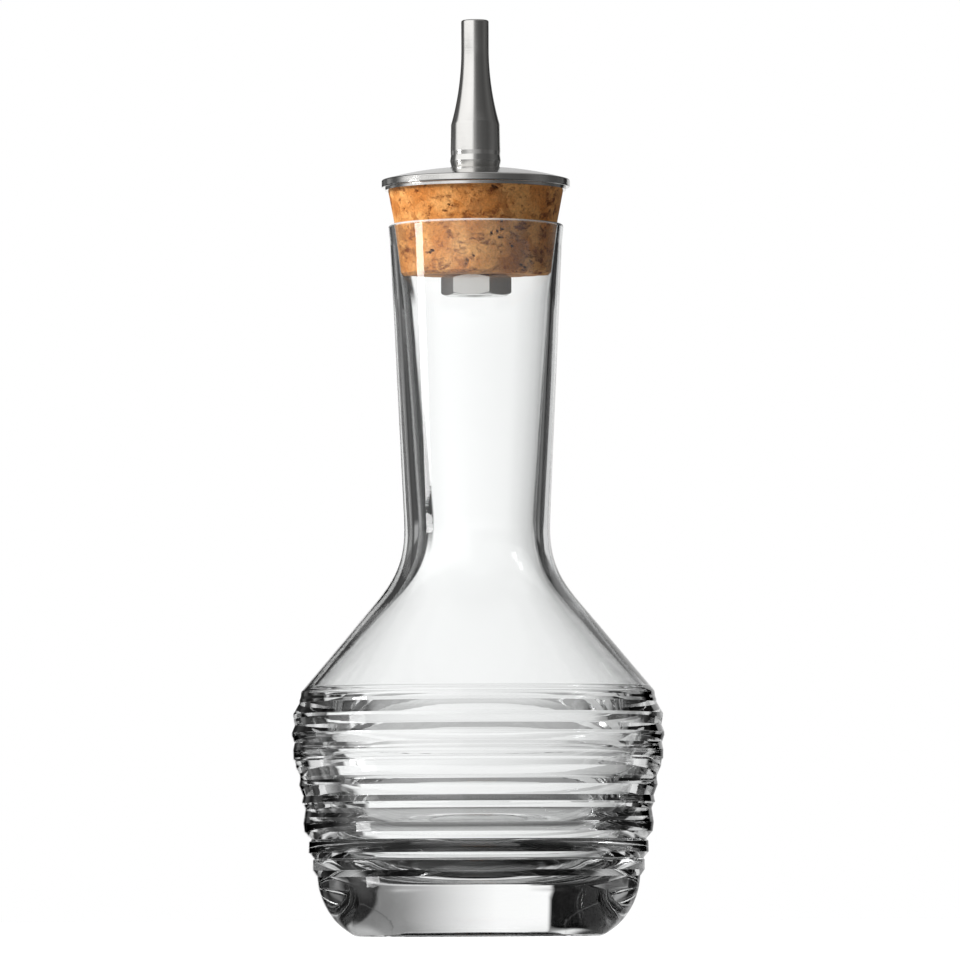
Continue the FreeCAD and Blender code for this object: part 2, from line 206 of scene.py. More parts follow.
class StopperSizes(bpy.types.PropertyGroup):
    """Sizes of the cork, the disc, the spout, the stem and the nut."""

    segments: IntProperty(name="Segments", description="Steps round each turned piece", default=128, min=24)
    cork_gap: length("Cork gap", "Room between cork and glass", 0.00015)
    cork_chamfer: length("Cork chamfer", "Broken lower edge of the cork", 0.0005)
    cork_row: length("Cork rows", "Spacing of the rows that carry the cork's pits", 0.0007)
    pit_depth: length("Pit depth", "Deepest pits in the cork", 0.00055)
    stem_hole: length("Stem hole", "Hole for the stem in cork and disc", 0.00325)
    plate_height: length("Plate height", "Thickness of the plate under the disc", 0.00045)
    plate_overhang: length("Plate overhang", "How far that plate stands out over the cork", 0.0005)
    disc_edge: length("Disc edge", "Thickness of the disc at its edge", 0.0012)
    disc_dome: length("Disc dome", "Radius of the dome", 0.054)
    disc_round: length("Disc rounding", "Rounding of the disc's edge", 0.00025)
    disc_land: length("Disc land", "Radius of the flat under the spout", 0.00462)
    foot_radius: length("Spout foot", "Radius where the spout meets the disc", 0.00385)
    bead_height: length("Bead height", "Middle of the bead above the disc", 0.0012)
    bead_radius: length("Bead radius", "Bead round the foot of the spout", 0.00412)
    collar_height: length("Collar height", "Groove above the bead", 0.0021)
    collar_radius: length("Collar radius", "Radius in that groove", 0.00399)
    barrel_height: length("Barrel height", "Lower edge of the barrel", 0.0028)
    barrel_radius: length("Barrel radius", "Radius at that edge", 0.00404)
    barrel_top: length("Barrel top", "Upper edge of the barrel", 0.0071)
    barrel_top_radius: length("Barrel top radius", "Radius at that edge", 0.00395)
    flare_curve: length("Flare curve", "Radius of the flare between barrel and tip", 0.045)
    tip_length: length("Tip length", "Straight tip of the spout", 0.0046)
    tip_radius: length("Tip radius", "Radius of the tip", 0.00223)
    tip_bore: length("Tip bore", "Radius of the way through the spout", 0.0012)
    tip_round: length("Tip rounding", "Rounding of the tip", 0.0003)
    edge_round: length("Edge rounding", "Broken edge of the turned steel", 0.00012)
    socket_depth: length("Socket depth", "Threaded socket in the barrel", 0.006)
    socket_radius: length("Socket radius", "Radius of that socket", 0.00305)
    stem_bore: length("Stem bore", "Radius of the way through the stem", 0.0016)
    stem_chamfer: length("Stem chamfer", "Chamfer at both ends of the stem", 0.0004)
    thread_pitch: length("Thread pitch", "Rise of the thread in one turn", 0.001)
    thread_depth: length("Thread depth", "Depth of the thread", 0.00058)
    thread_gap: length("Thread gap", "Running room of the nut's thread", 0.00005)
    nut_flats: length("Nut flats", "Width of the nut across its flats", 0.010)
    nut_chamfer: length("Nut chamfer", "Depth of the chamfer at the nut's corners", 0.00045)
    nut_round: length("Nut edge", "Broken edge between the nut's flats", 0.00012)
    nut_turn: angle("Nut turn", "How far the nut is turned about the axis", 51.0)


class Finishes(bpy.types.PropertyGroup):
    """Colours of the materials and of the stage."""

    glass: colour("Glass", "Tint of the clear glass", (0.985, 0.992, 0.99))
    glass_light: colour("Light through glass", "Tint of lamp light that passes the glass", (0.98, 0.99, 0.99))
    ground: colour("Ground rim", "Frosted glass of the rim", (0.86, 0.87, 0.87))
    cork: colour("Cork", "Main colour of the cork", (0.55, 0.2, 0.045))
    cork_pale: colour("Pale granules", "Palest cork granules", (0.84, 0.43, 0.15))
    cork_red: colour("Red granules", "Reddest cork granules", (0.2, 0.052, 0.012))
    cork_dark: colour("Cork pits", "Dark pits and cracks in the cork", (0.07, 0.028, 0.012))
    steel: colour("Steel", "Stainless steel", (0.74, 0.73, 0.71))
    floor: colour("Floor", "Pale floor", (0.62, 0.62, 0.62))


class StageSizes(bpy.types.PropertyGroup):
    """The camera, the lamps and the floor."""

    lens: FloatProperty(name="Lens", description="Focal length in millimetres", default=310.5)
    distance: length("Camera distance", "From the bottle's axis to the camera", 1.335)
    camera_height: length("Camera height", "Above the floor", 0.008)
    aim_height: length("Aim height", "Height that the middle of the picture shows", 0.0735)
    aim_side: length("Aim side", "How far right of the axis the middle of the picture is", 0.0005)
    roll: angle("Roll", "Tilt of the camera about its line of sight", 0.25)
    floor_radius: length("Floor radius", "Round floor under the bottle", 0.6)
    lamp_distance: length("Lamp distance", "From the bottle to each lamp", 0.6)
    panel_distance: length("Panel distance", "From the bottle to the panel behind it", 0.4)


def eased(spot, into, out, turn, rounding, steps=32):
    """Give the points of a corner whose bend comes and goes smoothly, as deep as an arc of the rounding."""
    half = abs(turn) / 2
    reach = rounding * (1 / math.cos(half) - 1) / (EASED_DEPTH_SHARE * math.sin(half))
    pulls = [into * -reach * share for share in reversed(EASED_SHARES)]
    pulls += [out * reach * share for share in EASED_SHARES]
    degree = len(pulls) - 1
    points = []
    for step in range(steps + 1):
        place = step / steps
        shares = [
            math.comb(degree, power) * place ** power * (1 - place) ** (degree - power)
            for power in range(degree + 1)
        ]
        points.append(spot + sum((pull * share for pull, share in zip(pulls, shares)), Vector((0, 0))))
    return points


def arc(spot, into, turn, rounding, turn_step=math.radians(9), length_step=0.002):
    """Give the points of a corner that is rounded by an arc."""
    trim = rounding * math.tan(abs(turn) / 2)
    steps = max(2, math.ceil(abs(turn) / turn_step), math.ceil(abs(turn) * rounding / length_step))
    across = Vector((-into.y, into.x)) * math.copysign(rounding, turn)
    centre = spot - into * trim + across
    arm = -across
    points = []
    for step in range(steps + 1):
        swing = turn * step / steps
        points.append(centre + Vector((
            arm.x * math.cos(swing) - arm.y * math.sin(swing),
            arm.x * math.sin(swing) + arm.y * math.cos(swing),
        )))
    return points


def rounded(corners):
    """Give the points of an outline whose corners are (radius, height), with a rounding for an arc, and with
    EASED after the rounding for a smoother bend."""
    points = []
    for index, corner in enumerate(corners):
        spot = Vector(corner[:2])
        if len(corner) < 3:
            points.append(spot)
            continue
        into = (spot - Vector(corners[index - 1][:2])).normalized()
        out = (Vector(corners[(index + 1) % len(corners)][:2]) - spot).normalized()
        turn = math.atan2(into.cross(out), into.dot(out))
        if EASED in corner:
            points += eased(spot, into, out, turn, corner[2])
        else:
            points += arc(spot, into, turn, corner[2])
    return points


def bowed(start, end, radius, steps=16):
    """Give the points between two corners on an arc that bulges to the right of the way from one to the
    other, or to the left for a negative radius."""
    start, end = Vector(start), Vector(end)
    chord = end - start
    half = math.asin(chord.length / 2 / abs(radius))
    across = Vector((chord.y, -chord.x)).normalized() * math.copysign(1, radius)
    centre = (start + end) / 2 - across * abs(radius) * math.cos(half)
    along = chord.normalized()
    return [
        tuple(centre + abs(radius) * (across * math.cos(swing) + along * math.sin(swing)))
        for swing in (half * (2 * step / steps - 1) for step in range(1, steps))
    ]


def spaced(points, gap):
    """Give an outline more points, so that none are further apart than the gap."""
    result = [points[0]]
    for last, spot in zip(points, points[1:]):
        steps = max(1, math.ceil((spot - last).length / gap))
        result += [last.lerp(spot, step / steps) for step in range(1, steps + 1)]
    return result


def start_piece(name):
    """Leave nothing selected and add a plane of one metre to shape, in edit mode, under a piece's name."""
    bpy.ops.object.select_all(action="DESELECT")
    bpy.ops.mesh.primitive_plane_add(size=1.0)
    piece = bpy.context.active_object
    piece.name = name
    piece.data.name = name
    bpy.ops.object.mode_set(mode="EDIT")
    bpy.ops.mesh.select_mode(type="VERT")
    return piece


def draw_outline(points):
    """Merge the plane to one vertex and extrude it from point to point of an outline in the XZ plane."""
    bpy.ops.mesh.merge(type="CENTER")
    bpy.ops.transform.translate(value=(points[0].x, 0, points[0].y))
    for last, spot in zip(points, points[1:]):
        way = (spot.x - last.x, 0, spot.y - last.y)
        bpy.ops.mesh.extrude_region_move(TRANSFORM_OT_translate={"value": way})


def close_mesh():
    """Merge what lies on the same point and turn all faces outwards."""
    bpy.ops.mesh.select_all(action="SELECT")
    bpy.ops.mesh.remove_doubles(threshold=SAME_POINT)
    bpy.ops.mesh.normals_make_consistent(inside=False)


def turned(name, points, segments):
    """Spin an outline round the bottle's axis."""
    piece = start_piece(name)
    draw_outline(points)
    bpy.ops.mesh.select_all(action="SELECT")
    bpy.ops.mesh.spin(steps=segments, angle=FULL_TURN, center=(0, 0, 0), axis=(0, 0, 1))
    close_mesh()
    bpy.ops.object.mode_set(mode="OBJECT")
    return piece


def select_only(piece):
    """Leave one piece selected and active."""
    bpy.ops.object.select_all(action="DESELECT")
    piece.select_set(True)
    bpy.context.view_layer.objects.active = piece


def apply_modifier(piece, kind, **settings):
    """Add a modifier with its settings and apply it."""
    select_only(piece)
    modifier = piece.modifiers.new(kind.lower(), kind)
    for key, setting in settings.items():
        setattr(modifier, key, setting)
    bpy.ops.object.modifier_apply(modifier=modifier.name)


def combine(piece, tool, operation):
    """Shape a piece with a tool by a boolean and delete the tool."""
    apply_modifier(piece, "BOOLEAN", object=tool, operation=operation, solver="EXACT")
    bpy.data.objects.remove(tool)


def finish_piece(piece, material, body, node):
    """Give a finished mesh smooth faces and its material, and hang it on the body that carries it."""
    select_only(piece)
    bpy.ops.object.shade_smooth_by_angle(angle=SMOOTH_ANGLE)
    apply_modifier(piece, "WEIGHTED_NORMAL", keep_sharp=True, weight=70)
    piece.data.materials.clear()
    piece.data.materials.append(material)
    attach(piece, body)
    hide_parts(node)


class Value:
    """A shader socket that takes part in Python expressions; each one adds a Math node."""

    def __init__(self, shader, socket):
        self.shader = shader
        self.socket = socket

    def math(self, operation, *others, clamp=False):
        """Join this value with others in a Math node."""
        settings = {"operation": operation, "use_clamp": clamp}
        return self.shader.add("ShaderNodeMath", settings, dict(enumerate((self, *others))))

    def swapped(self, operation, other):
        """Join another number with this value, the number first."""
        return self.shader.add("ShaderNodeMath", {"operation": operation}, {0: other, 1: self})

    def __add__(self, other):
        return self.math("ADD", other)

    __radd__ = __add__

    def __sub__(self, other):
        return self.math("SUBTRACT", other)

    def __rsub__(self, other):
        return self.swapped("SUBTRACT", other)

    def __mul__(self, other):
        return self.math("MULTIPLY", other)

    __rmul__ = __mul__

    def __truediv__(self, other):
        return self.math("DIVIDE", other)

    def __rtruediv__(self, other):
        return self.swapped("DIVIDE", other)

    def clamped(self):
        """This value, held between 0 and 1."""
        return self.math("ADD", 0.0, clamp=True)

    def step(self, low, high):
        """A smooth step of this value from 0 at low to 1 at high."""
        limits = {"Value": self, "From Min": low, "From Max": high}
        return self.shader.add("ShaderNodeMapRange", {"interpolation_type": "SMOOTHSTEP"}, limits)


class Shader:
    """The node tree of a material or of the world, filled by one method."""

    def __init__(self, owner):
        owner.use_nodes = True
        self.tree = owner.node_tree
        self.tree.nodes.clear()

    def add(self, kind, settings=None, sockets=None, output=0):
        """Add a node of a type, set it up, fill its sockets with values or links, and give one output."""
        node = self.tree.nodes.new(kind)
        for key, setting in (settings or {}).items():
            if key == "stops":
                self.set_stops(node.color_ramp, setting)
            else:
                setattr(node, key, setting)
        for key, given in (sockets or {}).items():
            socket = node.inputs[key]
            if isinstance(given, Value):
                self.tree.links.new(given.socket, socket)
            else:
                socket.default_value = given
        return Value(self, node.outputs[output]) if node.outputs else node

    def set_stops(self, ramp, stops):
        """Give a colour ramp its stops, each a place and a colour or a grey."""
        while len(ramp.elements) < len(stops):
            ramp.elements.new(1.0)
        for element, (place, tone) in zip(ramp.elements, stops):
            element.position = place
            element.color = (*tone, 1.0) if isinstance(tone, tuple) else (tone, tone, tone, 1.0)

    def place(self):
        """The coordinates of the piece itself, in metres."""
        return self.add("ShaderNodeTexCoord", output="Object")

    def parts(self, vector):
        """The three numbers of a vector."""
        node = self.add("ShaderNodeSeparateXYZ", None, {"Vector": vector}).socket.node
        return [Value(self, socket) for socket in node.outputs]

    def vector(self, *numbers):
        """A vector made of three numbers."""
        return self.add("ShaderNodeCombineXYZ", None, dict(enumerate(numbers)))

    def ray(self, kind):
        """1 for light rays of one kind, such as Is Camera Ray, and 0 for the rest."""
        return self.add("ShaderNodeLightPath", output=kind)

    def noise(self, vector, scale, detail=2.0, roughness=0.5):
        """Soft noise with features of about 1 / scale metres."""
        sockets = {"Vector": vector, "Scale": scale, "Detail": detail, "Roughness": roughness}
        return self.add("ShaderNodeTexNoise", None, sockets)

    def ramp(self, value, stops):
        """Grey tones of a value, each stop a value and its tone."""
        low, high = stops[0][0], stops[-1][0]
        places = [((place - low) / (high - low), tone) for place, tone in stops]
        return self.add("ShaderNodeValToRGB", {"stops": places}, {"Fac": (value - low) / (high - low)})

    def blend(self, factor, first, second):
        """Blend two numbers."""
        return self.add("ShaderNodeMix", {"data_type": "FLOAT"}, {0: factor, 2: first, 3: second})

    def mix(self, factor, first, second):
        """Blend two colours."""
        return self.add("ShaderNodeMix", {"data_type": "RGBA"}, {0: factor, 6: first, 7: second}, output=2)

    def scaled(self, tone, share):
        """A colour made darker or brighter by a number."""
        return self.add("ShaderNodeVectorMath", {"operation": "SCALE"}, {0: tone, "Scale": share})

    def bump(self, height, distance):
        """Turn a height into a normal."""
        return self.add("ShaderNodeBump", None, {"Height": height, "Distance": distance})

    def output(self, surface):
        """Send a shader to the material's output."""
        self.add("ShaderNodeOutputMaterial", None, {"Surface": surface})


def rgba(tone):
    """A colour with its alpha, as a shader socket takes it."""
    return (*tone, 1.0)


def new_shader(name):
    """Start an empty material."""
    material = bpy.data.materials.new(name)
    return material, Shader(material)


def glass_finish(finishes):
    """Clear glass: faint waves of the blown wall, polishing lines round it, dull smears and a ground rim."""
    material, shader = new_shader("clear_glass")
    place = shader.place()
    x, y, z = shader.parts(place)
    waves = shader.noise(place, 70.0)
    ring_lines = shader.noise(shader.vector(x * 20.0, y * 20.0, z * 1600.0), 1.0)
    smears = shader.noise(place, 55.0, 4.0, 0.6).step(0.6, 0.85)
    glass = shader.add("ShaderNodeBsdfPrincipled", None, {
        "Base Color": rgba(finishes.glass),
        "Roughness": smears * 0.02,
        "IOR": 1.52,
        "Transmission Weight": 1.0,
        "Normal": shader.bump(waves * 0.7 + ring_lines * 0.05, GLASS_RELIEF),
    })
    ground = z.step(GLASS_TOP.z - GROUND_FROM, GLASS_TOP.z - GROUND_FULL) * (0.3 + waves * 0.25)
    frosted = shader.add("ShaderNodeBsdfDiffuse", None, {"Color": rgba(finishes.ground)})
    body = shader.add("ShaderNodeMixShader", None, {0: ground, 1: glass, 2: frosted})
    passes = shader.ray("Is Shadow Ray").math("MAXIMUM", shader.ray("Is Diffuse Ray"))
    clear = shader.add("ShaderNodeBsdfTransparent", None, {"Color": rgba(finishes.glass_light)})
    shader.output(shader.add("ShaderNodeMixShader", None, {0: passes, 1: body, 2: clear}))
    return material


def cork_finish(finishes):
    """Natural cork: soft warped patches of several browns, red-brown flecks, specks and dark open pits."""
    material, shader = new_shader("natural_cork")
    place = shader.place()
    swirl_sockets = {"Vector": place, "Scale": 300.0, "Detail": 3.0}
    swirl = shader.add("ShaderNodeTexNoise", None, swirl_sockets, output="Color")
    drift_sockets = {0: swirl, 1: [CORK_DRIFT] * 3, 2: place}
    drift = shader.add("ShaderNodeVectorMath", {"operation": "MULTIPLY_ADD"}, drift_sockets)
    grains = shader.add("ShaderNodeTexVoronoi", None, {"Vector": drift, "Scale": 420.0}, output="Color")
    tone, redness, _ = shader.parts(grains)
    patches = shader.noise(drift, 230.0, 4.0, 0.6)
    fine = shader.noise(place, 2400.0, 3.0, 0.65)
    specks = shader.noise(drift, 1000.0, 4.0, 0.7)
    x, y, z = shader.parts(drift)
    flecks = shader.noise(shader.vector(x, y, z * 1.7), 260.0, 6.0, 0.72).step(0.52, 0.66)
    pit = shader.add("ShaderNodeAttribute", {"attribute_name": "pit"}, output="Fac")
    pale = (patches.step(0.36, 0.68) * 0.7 + tone * 0.35 - 0.1).clamped()
    body = shader.mix(pale, rgba(finishes.cork), rgba(finishes.cork_pale))
    body = shader.mix(redness.step(0.5, 1.0) * 0.45, body, rgba(finishes.cork_red))
    marks = (flecks * 0.9 + specks.step(0.56, 0.7) * 0.8).clamped()
    body = shader.mix(marks, body, rgba(finishes.cork_red))
    body = shader.scaled(body, fine.step(0.25, 0.75) * 0.4 + 0.74)
    body = shader.mix(pit.step(0.1, 0.6), body, rgba(finishes.cork_dark))
    height = fine * 0.35 + specks * 0.4 - flecks * 0.5
    shader.output(shader.add("ShaderNodeBsdfPrincipled", None, {
        "Base Color": body,
        "Roughness": 0.62 + fine * 0.25,
        "Specular IOR Level": 0.3,
        "Normal": shader.bump(height, CORK_RELIEF),
    }))
    return material


def steel_finish(finishes, name="turned_steel", roughness=0.1):
    """Stainless steel: turning marks round the axis, faint blotches and a few wiping streaks."""
    material, shader = new_shader(name)
    place = shader.place()
    x, y, z = shader.parts(place)
    reach = (x * x + y * y).math("SQRT")
    marks = shader.noise(shader.vector(reach * 5200.0, z * 5200.0, 0.0), 1.0, 3.0, 0.6)
    blotches = shader.noise(place, 420.0, 3.0)
    streaks = shader.noise(shader.vector(x * 900.0, y * 900.0, z * 90.0), 1.0, 3.0)
    tone = (blotches * 0.12 + streaks * 0.1 + marks * 0.06 + 0.86).clamped()
    shader.output(shader.add("ShaderNodeBsdfPrincipled", None, {
        "Base Color": shader.scaled(tuple(finishes.steel), tone),
        "Metallic": 1.0,
        "Roughness": roughness + blotches * 0.08 + marks * 0.05,
        "Normal": shader.bump(marks * 0.6 + streaks * 0.4, STEEL_RELIEF),
    }))
    return material


def glass_outline(sizes):
    """The glass from the hollow under its foot round the outside, over the rim and down the bore."""
    height = GLASS_TOP.z
    body_radius = GLASS_TOP.x
    foot = (sizes.foot_radius, 0.0)
    heel = (sizes.heel_radius, sizes.heel_height)
    rings = [
        (
            sizes.heel_radius + reach * (body_radius - sizes.heel_radius),
            sizes.heel_height + rise * (sizes.shoulder_height - sizes.heel_height),
            sizes.ring_round,
        )
        for rise, reach in RING_SHARES
    ]
    shoulder = (body_radius - sizes.shoulder_inset, sizes.shoulder_height, sizes.shoulder_round)
    bore = sizes.mouth_radius - sizes.mouth_wall
    seat = height - sizes.seat_depth
    cavity = body_radius - sizes.body_wall
    return rounded([
        (0.0, sizes.punt_depth),
        (sizes.foot_radius - sizes.foot_ring, 0.0),
        foot,
        *bowed(foot, heel, sizes.heel_curve),
        heel,
        *rings,
        shoulder,
        (sizes.neck_root_radius, sizes.neck_root_height, sizes.neck_blend, EASED),
        (sizes.mouth_radius - sizes.lip_flare, height - sizes.lip_height, sizes.lip_blend),
        (sizes.mouth_radius, height, sizes.rim_round),
        (bore, height, sizes.rim_round),
        (bore - sizes.seat_taper, seat, sizes.seat_blend),
        (sizes.neck_root_radius - sizes.waist_wall, sizes.neck_root_height, sizes.waist_blend, EASED),
        (cavity + sizes.cavity_lean, sizes.shoulder_height, sizes.corner_round),
        (cavity, sizes.shoulder_height - sizes.cavity_wall, sizes.bowl_blend),
        (sizes.heel_radius - sizes.bowl_wall, sizes.base_thickness, sizes.bowl_round),
        (0.0, sizes.base_thickness),
    ])


def cork_outline(glass, sizes):
    """The cork from its stem hole round the outside and back, with rows close enough to carry its pits."""
    bore = glass.mouth_radius - glass.mouth_wall - sizes.cork_gap
    rim = GLASS_TOP.z
    low, high = CORK_LOW.z, CORK_TOP.z
    foot = bore - glass.seat_taper * (rim - low) / glass.seat_depth
    points = rounded([
        (sizes.stem_hole, low),
        (foot - sizes.cork_chamfer, low),
        (foot, low + sizes.cork_chamfer, sizes.cork_chamfer),
        (bore, rim, sizes.cork_chamfer),
        (CORK_TOP.x, high),
        (sizes.stem_hole, high),
        (sizes.stem_hole, low),
    ])
    return spaced(points, sizes.cork_row)


def pit_share(spot):
    """How deep the cork is pitted at a point, from 0 on its skin to 1 in the deepest pits."""
    patch_warp = noise.noise_vector(spot * PATCH_WARP_SCALE) * PATCH_WARP
    patch = noise.fractal(spot * PATCH_SCALE + patch_warp, 1.0, 2.0, 3)
    crack_warp = noise.noise_vector(spot * CRACK_WARP_SCALE) * CRACK_WARP
    crack = noise.fractal(spot * Vector(CRACK_SCALES) + crack_warp, 0.9, 2.0, 4)
    deep = max(0.0, patch - PATCH_FROM) / PATCH_RISE
    narrow = max(0.0, crack - CRACK_FROM) / CRACK_RISE
    return min(1.0, deep + narrow)


class ModelGlass(bpy.types.Operator):
    """Model the glass bottle with its cut rings"""

    bl_idname = "bitters.glass"
    bl_label = "Glass bottle"

    def execute(self, context):
        sizes = context.scene.bitters_glass
        piece = turned("clear_glass_bottle", glass_outline(sizes), sizes.segments)
        finish_piece(piece, glass_finish(context.scene.bitters_finishes), "bottle", "glass_bottle")
        return {"FINISHED"}


class ModelCork(bpy.types.Operator):
    """Model the tapered cork with its open pits"""

    bl_idname = "bitters.cork"
    bl_label = "Cork"

    def execute(self, context):
        sizes = context.scene.bitters_stopper
        outline = cork_outline(context.scene.bitters_glass, sizes)
        piece = turned("pitted_cork", outline, sizes.segments)
        apply_modifier(piece, "SUBSURF", subdivision_type="SIMPLE", levels=1, render_levels=1)
        mesh = piece.data
        noise.seed_set(PIT_SEED)
        depths = [pit_share(vertex.co) for vertex in mesh.vertices]
        sunk = [
            vertex.co - vertex.normal * depth * sizes.pit_depth
            for vertex, depth in zip(mesh.vertices, depths)
        ]
        for vertex, spot in zip(mesh.vertices, sunk):
            vertex.co = spot
        mesh.attributes.new("pit", "FLOAT", "POINT").data.foreach_set("value", depths)
        finish_piece(piece, cork_finish(context.scene.bitters_finishes), "stopper", "cork")
        return {"FINISHED"}


class ModelDisc(bpy.types.Operator):
    """Model the domed steel disc"""

    bl_idname = "bitters.disc"
    bl_label = "Steel disc"

    def execute(self, context):
        sizes = context.scene.bitters_stopper
        edge, low, high = DISC_TOP.x, DISC_LOW.z, DISC_TOP.z
        plate = CORK_TOP.x + sizes.plate_overhang
        lower = low + sizes.plate_height
        brow = (edge, lower + sizes.disc_edge)
        crown = (sizes.disc_land, high)
        outline = rounded([
            (sizes.stem_hole, low),
            (plate, low),
            (plate, lower),
            (edge, lower, sizes.disc_round),
            (*brow, sizes.disc_round),
            *bowed(brow, crown, sizes.disc_dome),
            crown,
            (sizes.stem_hole, high),
            (sizes.stem_hole, low),
        ])
        piece = turned("domed_disc", outline, sizes.segments)
        finish_piece(piece, steel_finish(context.scene.bitters_finishes), "stopper", "cap_disc")
        return {"FINISHED"}


class ModelSpout(bpy.types.Operator):
    """Model the dash spout"""

    bl_idname = "bitters.spout"
    bl_label = "Dash spout"

    def execute(self, context):
        sizes = context.scene.bitters_stopper
        low, high = SPOUT_LOW.z, SPOUT_TOP.z
        broken = sizes.edge_round
        rolled = 3 * broken
        barrel = (sizes.barrel_top_radius, low + sizes.barrel_top)
        tip = (sizes.tip_radius, high - sizes.tip_length)
        outline = rounded([
            (sizes.socket_radius, low),
            (sizes.foot_radius, low, broken),
            (sizes.bead_radius, low + sizes.bead_height, rolled),
            (sizes.collar_radius, low + sizes.collar_height, rolled),
            (sizes.barrel_radius, low + sizes.barrel_height, rolled),
            barrel,
            *bowed(barrel, tip, -sizes.flare_curve, steps=24),
            tip,
            (sizes.tip_radius, high, sizes.tip_round),
            (sizes.tip_bore, high, sizes.tip_round),
            (sizes.tip_bore, low + sizes.socket_depth),
            (sizes.socket_radius, low + sizes.socket_depth),
            (sizes.socket_radius, low),
        ])
        piece = turned("steel_spout", outline, sizes.segments)
        finish_piece(piece, steel_finish(context.scene.bitters_finishes), "dasher", "dash_spout")
        return {"FINISHED"}


def thread_wall(crest, low, high, pitch):
    """Give the points of a rod's outer wall, close enough together to carry a thread."""
    return spaced([Vector((crest, low)), Vector((crest, high))], pitch / THREAD_ROWS)


def cut_thread(piece, sizes, crest):
    """Sink a winding groove into the outer wall of a turned rod, fading out towards its ends."""
    mesh = piece.data
    heights = [vertex.co.z for vertex in mesh.vertices]
    low, high = min(heights), max(heights)
    for vertex in mesh.vertices:
        reach = math.hypot(vertex.co.x, vertex.co.y)
        if reach < crest - SAME_POINT:
            continue
        turn = math.atan2(vertex.co.y, vertex.co.x) / FULL_TURN
        phase = abs((vertex.co.z / sizes.thread_pitch - turn) % 1 - 0.5) * 2
        groove = min(1.0, max(0.0, (phase - CREST_SHARE) / FLANK_SHARE))
        room = min(vertex.co.z - low, high - vertex.co.z) / sizes.thread_pitch
        sunk = reach - groove * min(1.0, room) * sizes.thread_depth
        vertex.co.x *= sunk / reach
        vertex.co.y *= sunk / reach


class ModelStem(bpy.types.Operator):
    """Model the hollow threaded stem"""

    bl_idname = "bitters.stem"
    bl_label = "Threaded stem"

    def execute(self, context):
        sizes = context.scene.bitters_stopper
        crest, low, high = STEM_TOP.x, STEM_LOW.z, STEM_TOP.z
        inset = sizes.stem_chamfer
        outline = [
            Vector((sizes.stem_bore, low)),
            Vector((crest - inset, low)),
            *thread_wall(crest, low + inset, high - inset, sizes.thread_pitch),
            Vector((crest - inset, high)),
            Vector((sizes.stem_bore, high)),
            Vector((sizes.stem_bore, low)),
        ]
        piece = turned("threaded_steel_stem", outline, THREAD_SEGMENTS)
        cut_thread(piece, sizes, crest)
        material = steel_finish(context.scene.bitters_finishes, "stem_steel", roughness=0.28)
        finish_piece(piece, material, "dasher", "threaded_stem")
        return {"FINISHED"}


def hexagon_prism(name, corner, low, high, turn):
    """Add a hexagon prism round the axis between two heights."""
    bpy.ops.object.select_all(action="DESELECT")
    bpy.ops.mesh.primitive_cylinder_add(vertices=6, radius=corner, depth=high - low)
    piece = bpy.context.active_object
    piece.name = name
    piece.data.name = name
    bpy.ops.object.mode_set(mode="EDIT")
    bpy.ops.mesh.select_all(action="SELECT")
    bpy.ops.transform.translate(value=(0, 0, (low + high) / 2))
    bpy.ops.transform.rotate(value=turn, orient_axis="Z", center_override=(0, 0, 0))
    bpy.ops.object.mode_set(mode="OBJECT")
    return piece


def break_upright_edges(piece, width):
    """Bevel the edges of a prism that run along the axis."""
    bpy.ops.object.mode_set(mode="EDIT")
    bpy.ops.mesh.select_mode(type="EDGE")
    bpy.ops.mesh.select_all(action="DESELECT")
    bpy.ops.object.mode_set(mode="OBJECT")
    for edge in piece.data.edges:
        ends = [piece.data.vertices[index].co for index in edge.vertices]
        edge.select = abs(ends[0].z - ends[1].z) > SAME_POINT
    bpy.ops.object.mode_set(mode="EDIT")
    bpy.ops.mesh.bevel(offset=width, segments=2, affect="EDGES")
    bpy.ops.object.mode_set(mode="OBJECT")


class ModelNut(bpy.types.Operator):
    """Model the hexagon nut with its chamfered corners and thread"""

    bl_idname = "bitters.nut"
    bl_label = "Hexagon nut"

    def execute(self, context):
        sizes = context.scene.bitters_stopper
        low, high = NUT_LOW.z, NUT_TOP.z
        flat = sizes.nut_flats / 2
        corner = flat / math.cos(math.pi / 6)
        piece = hexagon_prism("chamfered_nut", corner, low, high, math.pi / 2 - sizes.nut_turn)
        break_upright_edges(piece, sizes.nut_round)
        past = BLANK_SHARE * corner
        fall = sizes.nut_chamfer * (past - flat) / (corner - flat)
        blank = rounded([
            (0.0, low),
            (flat, low),
            (past, low + fall),
            (past, high - fall),
            (flat, high),
            (0.0, high),
        ])
        combine(piece, turned("nut_blank", blank, BLANK_SEGMENTS), "INTERSECT")
        crest = STEM_TOP.x + sizes.thread_gap
        overrun = 2 * sizes.thread_pitch
        wall = thread_wall(crest, low - overrun, high + overrun, sizes.thread_pitch)
        outline = [Vector((0, wall[0].y)), *wall, Vector((0, wall[-1].y))]
        tap = turned("nut_tap", outline, THREAD_SEGMENTS)
        cut_thread(tap, sizes, crest)
        combine(piece, tap, "DIFFERENCE")
        material = steel_finish(context.scene.bitters_finishes, "nut_steel", roughness=0.12)
        finish_piece(piece, material, "nut", "hex_nut")
        return {"FINISHED"}


